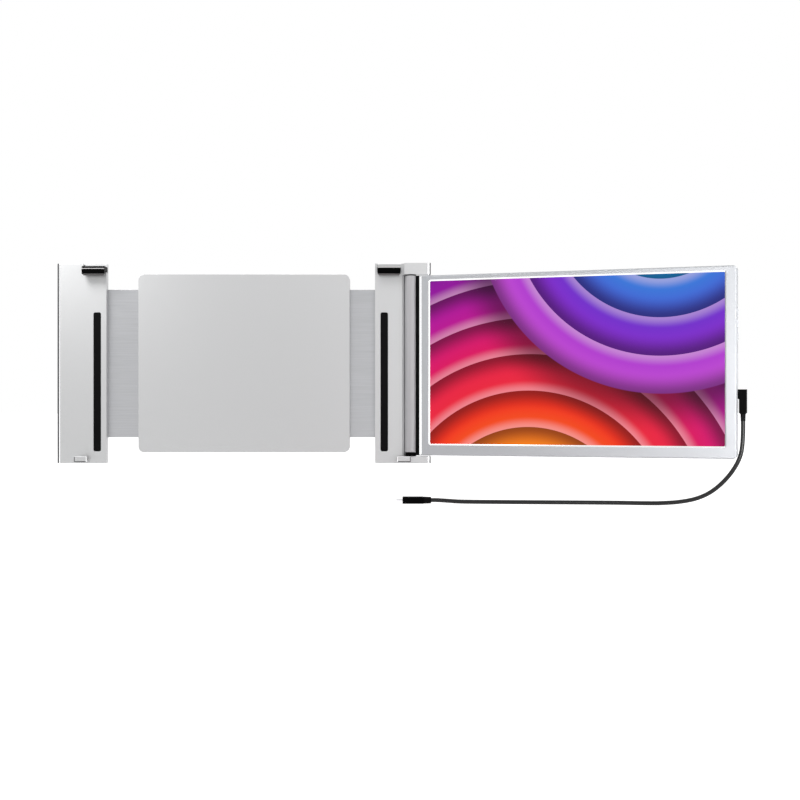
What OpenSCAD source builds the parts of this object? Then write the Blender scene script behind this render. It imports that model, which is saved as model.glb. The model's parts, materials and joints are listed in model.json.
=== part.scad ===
// Laptop screen extender: a telescopic bracket that hangs on a laptop's lid, with one hinged screen.
// Millimetres. The origin is the middle of the centre plate's front face, which the lid's back
// rests against. +X runs to the hinge, -Y towards the person in front, +Z up.

/* [Screen] */
// Width of the lit display
display_w = 309.4; // [280:0.2:320]
// Height of the lit display
display_h = 174; // [165:0.5:185]
// Bezel on the left and right of the display
bezel_side = 12.15; // [11:0.05:16]
// Bezel above the display
bezel_top = 6.4; // [5:0.1:12]
// Bezel below the display
bezel_bottom = 12.6; // [11:0.1:20]
// Thickness of the whole screen
screen_t = 10; // [9.6:0.1:13]
// Radius of the screen's corners at its free end
screen_corner_r = 5; // [3:0.5:6]
// Wall of the screen's back shell and bezel sides
screen_wall = 1.8; // [1.4:0.1:2.2]
// How far the display lies behind the bezel's front
display_recess = 1.2; // [0.8:0.1:1.4]
// Width of the sloped edge around the display
window_slope = 1.6; // [1:0.1:4]
// Angle between the screen and the bracket's plane, towards the person
open_angle = 19.5; // [0:0.5:60]

/* [Wings] */
// Width of the whole bracket as it is drawn
bracket_w = 402.8; // [396:0.2:420]
// Width of the left wing
left_wing_w = 53; // [50:0.5:56]
// Width of the right wing, with its hinge ears
right_wing_w = 60; // [58:0.5:62]
// Thickness of a wing
wing_t = 10; // [10:0.1:12]
// Wall of a wing's front shell
wing_wall = 1.8; // [1.5:0.1:2]
// Thickness of a wing's back cover
cover_t = 1.6; // [1.4:0.1:1.8]
// Width of the dark trim on a wing's outer edge
trim_w = 1.3; // [1.2:0.1:3]
// Height of a wing above the screen's top
wing_rise = 13.85; // [13.5:0.05:16]
// Height of a wing below the screen's bottom
wing_drop = 8.65; // [8.2:0.05:12]
// Width of the soft strip let into a wing's front
strip_w = 8; // [5:0.5:10]
// Length of the soft strip
strip_h = 150; // [100:5:160]
// Depth of the soft strip
strip_t = 1; // [0.6:0.1:1.2]

/* [Lid clips] */
// Space for the laptop's lid between a wing and a clip's lip
lid_gap = 7.2; // [6.5:0.1:9]
// Width of a clip
clip_w = 24.5; // [20:0.5:25]
// Height of a clip's hook over the lid
hook_t = 5.6; // [4:0.1:6]
// Thickness of a clip's lip, and of a claw's
lip_t = 2.2; // [1.8:0.1:3]
// How far a clip's lip reaches down over the lid
lip_drop = 4.4; // [4.2:0.1:6]
// Travel of a clip against its springs
clip_travel = 12; // [8:0.5:12]
// Diameter of a clip's guide rods
rod_d = 2.6; // [2.2:0.1:2.8]
// Length of a clip spring when it is squeezed flat
spring_solid = 9; // [8:0.5:10]
// Length of the bore that guides a rod
guide_l = 14.6; // [12:0.2:16]

/* [Claws] */
// Height of a claw
claw_h = 6.2; // [5:0.1:7]
// Width of the left claw
left_claw_w = 13.6; // [12:0.1:16]
// Width of the right claw
right_claw_w = 14.5; // [13:0.1:16]
// How far a claw's lip reaches over the lid
claw_reach = 6.8; // [5:0.1:8]

/* [Centre] */
// Width of the centre body
center_w = 228; // [220:1:234]
// Height of the centre body
center_h = 192; // [186:1:200]
// Thickness of the centre body
center_t = 15; // [15:0.1:17]
// Thickness of the centre body's front plate
front_t = 1.6; // [1.2:0.1:2]
// Thickness of a slide plate
slide_t = 1.4; // [1:0.1:1.5]
// Height of the centre body above and below the slide plates
slide_room = 16; // [15.5:0.5:25]
// How far a wing can be pulled out from where it is drawn
travel_out = 30; // [15:1:30]
// Diameter of the posts that stop the slides
post_d = 5; // [4:0.5:7]

/* [Kickstand] */
// Width of the kickstand
kick_w = 150; // [100:1:160]
// Length of the kickstand from its axis to its foot
kick_l = 105; // [80:1:105]
// Thickness of the kickstand
kick_t = 2.4; // [2:0.1:2.4]
// Diameter of the kickstand's hinge barrel
barrel_d = 4.6; // [4.2:0.1:4.8]
// Diameter of the kickstand's pins
kick_pin_d = 2.4; // [1.6:0.1:2.6]

/* [Hinge] */
// Diameter of the hinge bar
bar_d = 12.4; // [11:0.1:12.8]
// Distance of the hinge axis from the bracket's right end
hinge_inset = 21.4; // [20:0.1:23]
// Distance of the hinge axis in front of the wings' face
hinge_forward = 3; // [2.9:0.05:3.4]
// Diameter of the hinge pins
pin_d = 4; // [3:0.1:5]
// Depth of the hinge pins in the bar
pin_depth = 15.5; // [10:0.5:25]
// Thickness of the hinge leaf
leaf_t = 2.4; // [1.6:0.1:2.4]
// Distance from the hinge axis to the screen's edge
screen_gap = 10.2; // [10:0.1:12]

/* [Cable and sockets] */
// Diameter of the cable
cable_d = 4.4; // [4:0.1:5]
// Height of the lower socket and its plug above the origin
socket_z = -34.5; // [-36:0.5:-30]
// Distance between the two power and video sockets
socket_pitch = 17; // [14:0.5:20]
// Distance from the upper socket to the small video socket
video_pitch = 19; // [16:0.5:22]
// Height of the lowest button
button_z = 24; // [20:0.5:30]
// Distance between buttons
button_pitch = 12; // [10:0.5:14]
// Travel of a button
button_travel = 0.6; // [0.3:0.1:0.6]
// Distance that a button stands out
button_proud = 0.7; // [0.6:0.1:1.2]

/* [Hidden] */
$fn = 48;
SIDES = [-1, 1];

// Clearances
fold_gap = 0.3;      // clip over the folded screen
claw_gap = 0.8;      // claw under the folded screen
run_gap = 0.3;       // between parts that move past each other
plate_gap = 0.15;    // slide plate in its rails
pin_fit = 0.05;      // radial, running
rod_fit = 0.08;      // radial, running
seat_fit = 0.02;     // radial, fixed pins and screws
bar_gap = 1.1;       // hinge bar to the wing's edge
upper_ear_gap = 1.5; // the screen's top to the upper ear
lower_ear_gap = 0.9; // the screen's bottom to the lower ear
park_gap = 1.5;      // wing to centre body when pushed in

past = 1;            // how far a cut runs past the face that it opens

// Heights, worked out from the screen
wing_foot = 12.75;   // solid foot of a wing, below its cavity
slide_h = center_h - 2 * slide_room;
screen_h = bezel_bottom + display_h + bezel_top;
wing_h = screen_h + wing_rise + wing_drop;
top_z = wing_h / 2;
bottom_z = -wing_h / 2;
screen_z0 = bottom_z + wing_drop;
screen_z1 = screen_z0 + screen_h;
display_z0 = screen_z0 + bezel_bottom;
display_z1 = display_z0 + display_h;
lip_z = screen_z1 + fold_gap;
hook_z = lip_z + lip_drop;
claw_z = screen_z0 - claw_gap;
upper_ear_z = screen_z1 + upper_ear_gap;
lower_ear_z = screen_z0 - lower_ear_gap;
guide_z = hook_z - guide_l;
spring_l = clip_travel + spring_solid;
cavity_z = bottom_z + wing_foot;

// Depths
lip_y = -lid_gap - 0.2;
claw_y = -lid_gap - 0.2;
cover_y = wing_t - cover_t;
slide_y = cover_y - slide_t;
rod_y = wing_wall + 1.3 + rod_d / 2;
hook_back_y = rod_y + rod_d / 2 + 0.7;
notch_y = hook_back_y + run_gap;
ear_y = claw_y;
hinge_y = -hinge_forward;

// Widths
hinge_x = bracket_w / 2 - hinge_inset;
recess_x = hinge_x - bar_d / 2 - bar_gap;
recess_lip = 3.3;        // the wing's back edge reaches this far behind the hinge bar
recess_lip_y = 6;
left_claw_inset = 20;
left_clip_inset = 0.3;
right_clip_inset = 3;
rod_spread = 7;          // each guide rod from the clip's middle
strip_inset = 6;
strip_low = 20;          // middle of the soft strip, below the wing's middle
strip_r = 2;
plates_apart = 5;        // a slide plate's end to the middle, with its wing pushed in
plate_side = 1;          // a slide plate's end to the wing's side wall
screw_inner = 8;
screw_outer = 6;
screw_rise = 30;         // wing screws from the slide plate's ends
trim_edge = 0.8;
bright_w = 1.6;          // width of the left wing's sloped front edge, beside its trim
bright_d = 0.6;          // and its depth
recess_edge = 2.6;
pin_cap = 1.2;           // what an ear's bore leaves of the ear
pin_end_gap = 0.2;
claw_pad_t = 0.7;
claw_pad_edge = 0.6;

function wing_w(side) = side < 0 ? left_wing_w : right_wing_w;
function outer_x(side) = side * bracket_w / 2;
function inner_x(side) = side * (bracket_w / 2 - wing_w(side));
function shell_x(side) = side < 0 ? outer_x(side) + trim_w : recess_x;
function clip_x(side) = inner_x(side) + side * (side < 0 ? left_clip_inset : right_clip_inset);
function clip_mid(side) = clip_x(side) + side * clip_w / 2;
function rod_x(side) = [clip_mid(side) - rod_spread, clip_mid(side) + rod_spread];
function travel_in(side) = abs(inner_x(side)) - center_w / 2 - park_gap;
function plate_inner(side) = side * (travel_in(side) + plates_apart);
function plate_outer(side) = shell_x(side) - side * (wing_wall + plate_side);
function screw_x(side) = [inner_x(side) + side * screw_inner, plate_outer(side) - side * screw_outer];
screw_z = [screw_rise - slide_h / 2, slide_h / 2 - screw_rise];

// Screws
screw_d = 2.4;
head_d = 4.6;
head_t = 1.1;
driver_d = 1.5;
boss_d = 6;

// ---- helpers ----

// A box between two values on each axis, in either order
module block(x, y, z) {
  translate([min(x), min(y), min(z)])
    cube([abs(x[1] - x[0]), abs(y[1] - y[0]), abs(z[1] - z[0])]);
}

module round_rect(w, h, r) {
  square([w - 2 * r, h], center = true);
  square([w, h - 2 * r], center = true);
  for (sx = SIDES, sz = SIDES)
    translate([sx * (w / 2 - r), sz * (h / 2 - r)]) circle(r);
}

// A plate that faces Y, with its corners rounded
module slab(x, y, z, r) {
  translate([(x[0] + x[1]) / 2, max(y), (z[0] + z[1]) / 2])
    rotate([90, 0, 0])
      linear_extrude(abs(y[1] - y[0]))
        round_rect(abs(x[1] - x[0]), abs(z[1] - z[0]), r);
}

// A bar along Z, with its edges rounded
module bar_z(x, y, z, r) {
  translate([(x[0] + x[1]) / 2, (y[0] + y[1]) / 2, min(z)])
    linear_extrude(abs(z[1] - z[0]))
      round_rect(abs(x[1] - x[0]), abs(y[1] - y[0]), r);
}

module rod_along_y(x, y, z, d) {
  translate([x, max(y), z]) rotate([90, 0, 0]) cylinder(h = abs(y[1] - y[0]), d = d);
}

module rod_along_x(x, y, z, d) {
  translate([min(x), y, z]) rotate([0, 90, 0]) cylinder(h = abs(x[1] - x[0]), d = d);
}

// A screw whose head lies at the back, at y[1], and whose tip is at y[0]
module back_screw(x, y, z) {
  rod_along_y(x, [y[0], y[1] - head_t], z, screw_d);
  difference() {
    rod_along_y(x, [y[1] - head_t, y[1]], z, head_d);
    rod_along_y(x, [y[1] - head_t / 2, y[1] + past], z, driver_d);
  }
}

// The room that a back screw needs
module screw_room(x, y, z) {
  rod_along_y(x, [y[0], y[1] + past], z, screw_d + 2 * seat_fit);
  rod_along_y(x, [y[1] - head_t, y[1] + past], z, head_d + 2 * seat_fit);
}

// Whatever is drawn inside is laid out with the screen in the bracket's plane, X from the axis
module in_screen() {
  translate([hinge_x, hinge_y, 0])
    rotate([0, 0, -open_angle])
      translate([0, -hinge_y, 0])
        children();
}

// ---- centre body ----

center_x = center_w / 2;
center_z = center_h / 2;
center_corner_r = 6;
center_wall = 1.8;
cavity_back = slide_y + slide_t + 0.8;
rail_half = 4;
rail_lip = 1.4;
rail_z = [slide_h / 2 - rail_half, slide_h / 2 + rail_half];
rail_y = slide_y - rail_lip;
post_inset = 38;
post_x = center_x - post_inset;
post_z = slide_h / 4;
pad_inset = 15;
pad_w = 10;
pad_h = 12;
pad_low = 14;
pad_x = [center_x - pad_inset - pad_w, center_x - pad_inset];
pad_z = [pad_low, pad_low + pad_h];
pad_squeeze = 0.1;       // room left over a brake pad
center_screw_side = 10;
center_screw_end = 7;
center_screw_x = center_x - center_screw_side;
center_screw_z = center_z - center_screw_end;
center_screws = [
  [0, center_screw_z],
  for (sx = SIDES, sz = SIDES) [sx * center_screw_x, sz * center_screw_z]];

// Kickstand
kick_z = 18;
kick_gap = 0.6;
kick_sink = 0.1;         // the kickstand lies this far under the back
kick_plate_y = [center_t - kick_t - kick_sink, center_t - kick_sink];
kick_floor = center_t - kick_t - kick_gap;
kick_y = center_t - kick_sink - barrel_d / 2;
kick_foot = 3;
nail_w = 22;
nail_h = 5;
kick_bore = 6;           // depth of a pin's bore in the barrel
kick_bore_out = 7;       // and in the back shell

module center_front_plate() {
  color("silver")
    slab([-center_x, center_x], [0, front_t], [-center_z, center_z], center_corner_r);
}

module kickstand_room() {
  half = kick_w / 2 + kick_gap;
  block([-half, half], [kick_floor, center_t + past],
    [kick_z - kick_l - kick_gap, kick_z + barrel_d / 2 + kick_gap]);
  rod_along_x([-half, half], kick_y, kick_z, barrel_d + 2 * run_gap);
  // nail notch under the foot
  block([-nail_w / 2, nail_w / 2], [kick_floor, center_t + past],
    [kick_z - kick_l - nail_h, kick_z - kick_l]);
}

module center_back_shell() {
  color("silver") difference() {
    union() {
      difference() {
        slab([-center_x, center_x], [front_t, center_t], [-center_z, center_z], center_corner_r);
        block([-center_x + center_wall, center_x - center_wall], [0, cavity_back],
          [-center_z + center_wall, center_z - center_wall]);
      }
      for (p = center_screws)
        rod_along_y(p[0], [front_t, cavity_back], p[1], boss_d);
    }
    kickstand_room();
    for (side = SIDES) {
      // way out for the slide plate
      block([side * (center_x - center_wall - past), side * (center_x + past)],
        [slide_y - run_gap, slide_y + slide_t + run_gap],
        [-slide_h / 2 - run_gap, slide_h / 2 + run_gap]);
      rod_along_x([side * (kick_w / 2 - past), side * (kick_w / 2 + kick_bore_out)], kick_y, kick_z,
        kick_pin_d + 2 * seat_fit);
    }
    for (p = center_screws) screw_room(p[0], [front_t, center_t], p[1]);
  }
}

module center_screw_set() {
  color("dimgray")
    for (p = center_screws) back_screw(p[0], [front_t, center_t], p[1]);
}

module guide_rails() {
  color("dimgray") for (side = SIDES) difference() {
    block([-center_x + center_wall, center_x - center_wall], [rail_y, cavity_back],
      side * rail_z);
    block([-center_x, center_x], [slide_y - plate_gap, slide_y + slide_t + plate_gap],
      [side * (rail_z[0] - past), side * (slide_h / 2 + plate_gap)]);
  }
}

module stop_posts() {
  color("gray") for (sx = SIDES, sz = SIDES)
    rod_along_y(sx * post_x, [front_t, cavity_back], sz * post_z, post_d);
}

module brake_pads() {
  color("black") for (sx = SIDES, sz = SIDES)
    block(sx * pad_x, [front_t, slide_y - pad_squeeze], sz * pad_z);
}

module kickstand_panel() {
  half = kick_w / 2;
  color("silver") difference() {
    union() {
      block([-half, half], kick_plate_y, [kick_z - kick_l + kick_foot, kick_z]);
      rod_along_x([-half, half], kick_y, kick_z, barrel_d);
    }
    for (side = SIDES)
      rod_along_x([side * (half - kick_bore), side * (half + past)], kick_y, kick_z,
        kick_pin_d + 2 * pin_fit);
  }
}

module kickstand_foot() {
  color("black")
    block([-kick_w / 2, kick_w / 2], kick_plate_y, [kick_z - kick_l, kick_z - kick_l + kick_foot]);
}

module kickstand_pins() {
  color("gray") for (side = SIDES)
    rod_along_x([side * (kick_w / 2 - kick_bore + 0.5), side * (kick_w / 2 + kick_bore_out - 0.2)],
      kick_y, kick_z, kick_pin_d);
}

// ---- wings ----

module strip_block(side) {
  x0 = inner_x(side) + side * strip_inset;
  slab([x0, x0 + side * strip_w], [0, strip_t],
    [-strip_h / 2 - strip_low, strip_h / 2 - strip_low], strip_r);
}

// Cavity, clip notch, rod bores, screw holes and strip pocket of a wing
module wing_cuts(side) {
  block([inner_x(side) + side * wing_wall, shell_x(side) - side * wing_wall],
    [wing_wall, wing_t], [cavity_z, guide_z]);
  block([inner_x(side) - side * past, inner_x(side) + side * (wing_wall + past)],
    [slide_y, wing_t], [-slide_h / 2, slide_h / 2]);
  block([clip_x(side) - side * (run_gap + (side < 0 ? past : 0)),
      clip_x(side) + side * (clip_w + run_gap)],
    [-past, notch_y], [hook_z - run_gap, top_z + past]);
  for (x = rod_x(side))
    translate([x, rod_y, guide_z - past]) cylinder(h = guide_l + 2 * past, d = rod_d + 2 * rod_fit);
  strip_block(side);
}

module wing_bosses(side) {
  for (x = screw_x(side), z = screw_z)
    rod_along_y(x, [wing_wall, slide_y], z, boss_d);
}

module wing_screw_rooms(side) {
  for (x = screw_x(side), z = screw_z) screw_room(x, [wing_wall, wing_t], z);
}

module wing_screws(side) {
  color("dimgray")
    for (x = screw_x(side), z = screw_z) back_screw(x, [wing_wall, wing_t], z);
}

module left_wing_shell() {
  color("silver") difference() {
    union() {
      difference() {
        block([inner_x(-1), shell_x(-1)], [0, cover_y], [bottom_z, top_z]);
        wing_cuts(-1);
      }
      wing_bosses(-1);
    }
    wing_screw_rooms(-1);
    // sloped front edge beside the trim
    translate([shell_x(-1), 0, bottom_z - past]) linear_extrude(wing_h + 2 * past)
      polygon([[bright_w, 0], [0, bright_d], [-past, bright_d], [-past, -past], [bright_w, -past]]);
  }
}

module left_wing_cover() {
  color("silver") difference() {
    block([inner_x(-1), shell_x(-1)], [cover_y, wing_t], [bottom_z, top_z]);
    wing_screw_rooms(-1);
  }
}

module left_edge_trim() {
  color("dimgray") difference() {
    block([outer_x(-1), shell_x(-1)], [0, wing_t], [bottom_z, top_z]);
    for (y = [0, wing_t])
      translate([outer_x(-1), y, 0]) rotate([0, 0, 45])
        cube([trim_edge, trim_edge, wing_h + 2 * past], center = true);
  }
}

// The C shape of the right wing's shell: a plate with a hinge ear above and below
module right_wing_shell() {
  color("silver") difference() {
    union() {
      difference() {
        union() {
          block([inner_x(1), recess_x], [0, cover_y], [bottom_z, top_z]);
          block([recess_x - past, recess_x + recess_lip], [recess_lip_y, cover_y],
            [bottom_z, top_z]);
          block([recess_x, outer_x(1) - trim_w], [ear_y, cover_y], [upper_ear_z, top_z]);
          block([recess_x, outer_x(1) - trim_w], [ear_y, cover_y], [bottom_z, lower_ear_z]);
        }
        wing_cuts(1);
      }
      wing_bosses(1);
    }
    wing_screw_rooms(1);
    // sloped edge beside the hinge bar
    translate([recess_x, 0, (upper_ear_z + lower_ear_z) / 2]) rotate([0, 0, 45])
      cube([recess_edge, recess_edge, upper_ear_z - lower_ear_z], center = true);
    // bores for the hinge pins
    for (z = [[lower_ear_z + past, bottom_z + pin_cap], [upper_ear_z - past, top_z - pin_cap]])
      translate([hinge_x, hinge_y, min(z)])
        cylinder(h = abs(z[1] - z[0]), d = pin_d + 2 * seat_fit);
  }
}

module right_wing_cover() {
  color("silver") difference() {
    union() {
      block([inner_x(1), recess_x + recess_lip], [cover_y, wing_t], [bottom_z, top_z]);
      for (z = [[upper_ear_z, top_z], [bottom_z, lower_ear_z]])
        block([recess_x, outer_x(1) - trim_w], [cover_y, wing_t], z);
    }
    wing_screw_rooms(1);
  }
}

module right_edge_trim() {
  color("dimgray") for (z = [[upper_ear_z, top_z], [bottom_z, lower_ear_z]])
    block([outer_x(1) - trim_w, outer_x(1)], [ear_y, wing_t], z);
}

module slide_plate(side) {
  color("gainsboro") difference() {
    block([plate_inner(side), plate_outer(side)], [slide_y, slide_y + slide_t],
      [-slide_h / 2, slide_h / 2]);
    for (z = [-post_z, post_z]) {
      ends = [post_x - travel_out, post_x + travel_in(side)];
      slot_d = post_d + 2 * run_gap;
      block([side * ends[0], side * ends[1]], [0, wing_t], [z - slot_d / 2, z + slot_d / 2]);
      for (x = ends) rod_along_y(side * x, [0, wing_t], z, slot_d);
    }
    wing_screw_rooms(side);
  }
}

module lid_strip(side) {
  color("black") strip_block(side);
}

module left_claw() {
  x0 = outer_x(-1) + left_claw_inset;
  color("silver") union() {
    block([x0, x0 + left_claw_w - claw_reach], [claw_y - lip_t, 0], [claw_z - claw_h, claw_z]);
    block([x0, x0 + left_claw_w], [claw_y - lip_t, claw_y], [claw_z - claw_h, claw_z]);
  }
}

module left_claw_pad() {
  x1 = outer_x(-1) + left_claw_inset + left_claw_w;
  color("black") block([x1 - claw_reach + claw_pad_edge, x1 - claw_pad_edge],
    [claw_y, claw_y + claw_pad_t], [claw_z - claw_h + claw_pad_edge, claw_z - claw_pad_edge]);
}

module right_claw() {
  color("silver")
    block([hinge_x - right_claw_w, hinge_x], [claw_y - lip_t, claw_y],
      [claw_z - claw_h, min(claw_z, lower_ear_z)]);
}

module right_claw_pad() {
  color("black") block([hinge_x - right_claw_w + claw_pad_edge, recess_x - claw_pad_edge],
    [claw_y, claw_y + claw_pad_t], [claw_z - claw_h + claw_pad_edge, claw_z - claw_pad_edge]);
}

// ---- lid clips ----

hook_corner = 2.4;
hook_edge = 2.6;
clip_pad_t = 0.7;
clip_pad_edge = 2.6;
retainer_t = 1.2;
retainer_rim = 1;
rod_end = 0.8;           // a rod's end below its retainer

module clip_hook(side) {
  x = [clip_x(side), clip_x(side) + side * clip_w];
  front = lip_y - lip_t;
  rod_z = guide_z - spring_l - retainer_t - rod_end;
  color("#151515") difference() {
    union() {
      block(x, [front, hook_back_y], [hook_z, hook_z + hook_t]);
      block(x, [front, lip_y], [lip_z, hook_z + past]);
      for (rx = rod_x(side))
        translate([rx, rod_y, rod_z]) cylinder(h = hook_z + past - rod_z, d = rod_d);
    }
    // sloped lower corners and front edges of the lip
    for (cx = x)
      translate([cx, front, lip_z]) rotate([0, 45, 0])
        cube([hook_corner, 2 * (lip_t + past), hook_corner], center = true);
    for (z = [lip_z, hook_z + hook_t])
      translate([clip_mid(side), front, z]) rotate([45, 0, 0])
        cube([clip_w + 2 * past, hook_edge, hook_edge], center = true);
  }
}

module clip_pad(side) {
  color("dimgray")
    block([clip_x(side) + side * clip_pad_edge, clip_x(side) + side * (clip_w - clip_pad_edge)],
      [lip_y, lip_y + clip_pad_t], [lip_z + 0.4, hook_z - 0.1]);
}

module clip_retainers(side) {
  color("gray") for (x = rod_x(side)) translate([x, rod_y, guide_z - spring_l - retainer_t])
    difference() {
      cylinder(h = retainer_t, d = rod_d + 2 * retainer_rim);
      translate([0, 0, -past]) cylinder(h = retainer_t + 2 * past, d = rod_d + 2 * seat_fit);
    }
}

// Springs
wire_d = 0.6;
coil_r = rod_d / 2 + 0.2 + wire_d / 2;
coil_turns = 7;
coil_steps = 12;
wire_sides = 5;

function coil_angle(i) = 360 * i / coil_steps;
function coil_ring(i, length) = [
  for (k = [0:wire_sides - 1])
    let (a = coil_angle(i), b = 360 * k / wire_sides, r = coil_r + wire_d / 2 * cos(b))
    [r * cos(a), r * sin(a),
      wire_d / 2 + (length - wire_d) * i / (coil_turns * coil_steps) + wire_d / 2 * sin(b)]];

function tube_faces(rings, sides) = concat(
  [[for (k = [sides - 1:-1:0]) k]],
  [for (i = [0:rings - 2], k = [0:sides - 1], half = [0, 1])
    let (a = i * sides + k, b = i * sides + (k + 1) % sides)
    half == 0 ? [a, b, b + sides] : [a, b + sides, a + sides]],
  [[for (k = [0:sides - 1]) (rings - 1) * sides + k]]);

module coil_spring(length) {
  rings = coil_turns * coil_steps + 1;
  polyhedron(
    points = [for (i = [0:rings - 1]) each coil_ring(i, length)],
    faces = tube_faces(rings, wire_sides));
}

module clip_springs(side) {
  color("gray") for (x = rod_x(side))
    translate([x, rod_y, guide_z - spring_l]) coil_spring(spring_l);
}

// ---- hinge ----

bar_short = 3.6;         // the bar starts this far above the screen's bottom
bar_long = 0.1;          // and ends this far above its top
bar_z0 = screen_z0 + bar_short;
bar_z1 = screen_z1 + bar_long;
leaf_short = 5;
leaf_clear = 3.5;        // the leaf's end to the display
leaf_z0 = screen_z0 + leaf_short;
leaf_z1 = screen_z1 - leaf_short;
leaf_u1 = screen_gap + bezel_side - leaf_clear;
leaf_y = [hinge_y - leaf_t / 2, hinge_y + leaf_t / 2];
leaf_screw_pitch = 50;
leaf_screw_z = [for (k = [-1.5:1.5]) k * leaf_screw_pitch];
leaf_screw_in = 2.9;
leaf_screw_u = screen_gap + screen_wall + leaf_screw_in;
leaf_seat = 2.6;         // depth of the leaf's root in the bar
leaf_root_gap = 0.2;     // the root's full height ends this far before the screen
washer_d = bar_d - 0.8;
washer_gap = 0.2;        // to the ear; the bar turns on run_gap
washer_z = [
  [bar_z1 + run_gap, upper_ear_z - washer_gap],
  [lower_ear_z + washer_gap, bar_z0 - run_gap]];

module hinge_bar() {
  color("silver") in_screen() difference() {
    translate([0, hinge_y, bar_z0]) cylinder(h = bar_z1 - bar_z0, d = bar_d);
    for (z = [bar_z0 - past, bar_z1 - pin_depth])
      translate([0, hinge_y, z]) cylinder(h = pin_depth + past, d = pin_d + 2 * pin_fit);
    block([bar_d / 2 - leaf_seat, bar_d], leaf_y, [bar_z0 - past, bar_z1 + past]);
  }
}

module hinge_leaf() {
  color("#303030") in_screen() difference() {
    union() {
      block([bar_d / 2 - leaf_seat, leaf_u1], leaf_y, [leaf_z0, leaf_z1]);
      // the root closes the gap beside the bar over its whole height
      block([bar_d / 2 - leaf_seat, screen_gap - leaf_root_gap], leaf_y, [bar_z0, bar_z1]);
      block([bar_d / 2, screen_gap - leaf_root_gap], leaf_y, [screen_z0, bar_z1]);
    }
    for (z = leaf_screw_z) {
      rod_along_y(leaf_screw_u, leaf_y + [-past, past], z, screw_d + 2 * seat_fit);
      rod_along_y(leaf_screw_u, [leaf_y[0] - past, leaf_y[0] + head_t], z, head_d + 2 * seat_fit);
    }
  }
}

module hinge_screws() {
  color("gray") in_screen() for (z = leaf_screw_z) {
    rod_along_y(leaf_screw_u, [leaf_y[0], leaf_y[0] + head_t], z, head_d);
    rod_along_y(leaf_screw_u, [leaf_y[0] + head_t, shell_floor - 0.5], z, screw_d);
  }
}

module hinge_pins() {
  inner = pin_depth - 0.5;
  outer = pin_cap + pin_end_gap;
  color("gray") for (z = [[bar_z1 - inner, top_z - outer], [bottom_z + outer, bar_z0 + inner]])
    translate([hinge_x, hinge_y, z[0]]) cylinder(h = z[1] - z[0], d = pin_d);
}

module hinge_washers() {
  color("dimgray") for (z = washer_z)
    translate([hinge_x, hinge_y, z[0]]) difference() {
      cylinder(h = z[1] - z[0], d = washer_d);
      translate([0, 0, -past]) cylinder(h = z[1] - z[0] + 2 * past, d = pin_d + 2 * pin_fit);
    }
}

// ---- screen ----

screen_u0 = screen_gap;
screen_u1 = screen_gap + 2 * bezel_side + display_w;
display_u0 = screen_u0 + bezel_side;
display_u1 = display_u0 + display_w;
screen_forward = 2.5;    // the bezel's front, before the hinge axis
front_depth = 3.7;       // depth of the bezel
screen_back = 1.6;       // the back shell's thickness
screen_y0 = hinge_y - screen_forward;
screen_y1 = screen_y0 + screen_t;
glass_y = screen_y0 + display_recess;
glass_t = 1.2;
guide_t = 1.8;
tray_t = 0.5;
parting_y = screen_y0 + front_depth;
shell_floor = screen_y1 - screen_back;
cell_margin = 3;
leaf_slot = 0.1;
front_edge = 1.2;        // width of the slope around the bezel's front
front_edge_run = 4;      // that slope's run over front_edge_depth
front_edge_depth = 6;
hinge_edge = 3;          // width of the flatter slope beside the hinge
hinge_edge_depth = 0.8;
back_edge = 2;
window_r = 1.3;          // radius of the window's corners
screen_boss_d = 5;
screw_tip_y = glass_y + 0.4;
screw_inset = 5.5;
screw_end = 24;
screw_low = screen_z0 + screw_inset;
screw_right = screen_u1 - screw_inset;
screen_w = screen_u1 - screen_u0;
screen_screws = [
  for (share = [0.25, 0.5, 0.75]) [screen_u0 + share * screen_w, screw_low],
  [screw_right, screen_z0 + screw_end],
  [screw_right, screen_z1 - screw_end]];

// The display's window: u and z are its size at the back, and it is wider at the front by slope
module window_cut(u, z, y_front, y_back, slope) {
  translate([0, 0, z[0] + window_r]) linear_extrude(z[1] - z[0] - 2 * window_r)
    polygon([[u[0], y_back], [u[1], y_back], [u[1] + slope, y_front], [u[0] - slope, y_front]]);
  translate([u[0] + window_r, 0, 0]) rotate([90, 0, 90])
    linear_extrude(u[1] - u[0] - 2 * window_r)
      polygon([[y_back, z[0]], [y_back, z[1]], [y_front, z[1] + slope], [y_front, z[0] - slope]]);
  for (x = [u[0] + window_r, u[1] - window_r], end = [z[0] + window_r, z[1] - window_r])
    translate([x, y_back, end]) rotate([90, 0, 0])
      cylinder(h = y_back - y_front, r1 = window_r, r2 = window_r + slope);
}

// A block with sloped sides: u and z are its size at the back, and it is wider at the front by slope
module sloped_window(u, z, y_front, y_back, slope) {
  far = abs(slope) + past;
  intersection() {
    translate([0, 0, z[0] - far]) linear_extrude(z[1] - z[0] + 2 * far)
      polygon([[u[0], y_back], [u[1], y_back], [u[1] + slope, y_front], [u[0] - slope, y_front]]);
    translate([u[0] - far, 0, 0]) rotate([90, 0, 90])
      linear_extrude(u[1] - u[0] + 2 * far)
        polygon([[y_back, z[0]], [y_back, z[1]], [y_front, z[1] + slope], [y_front, z[0] - slope]]);
  }
}

// The screen's outline: rounded corners at the free end, square ones beside the hinge
module screen_body(y, inset) {
  z = [screen_z0 + inset, screen_z1 - inset];
  slab([screen_u0 + inset, screen_u1 - inset], y, z, screen_corner_r - inset);
  block([screen_u0 + inset, screen_u0 + 2 * screen_corner_r], y, z);
}

module cell_slab(y, margin) {
  block([display_u0 - margin, display_u1 + margin], y, [display_z0 - margin, display_z1 + margin]);
}

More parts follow.
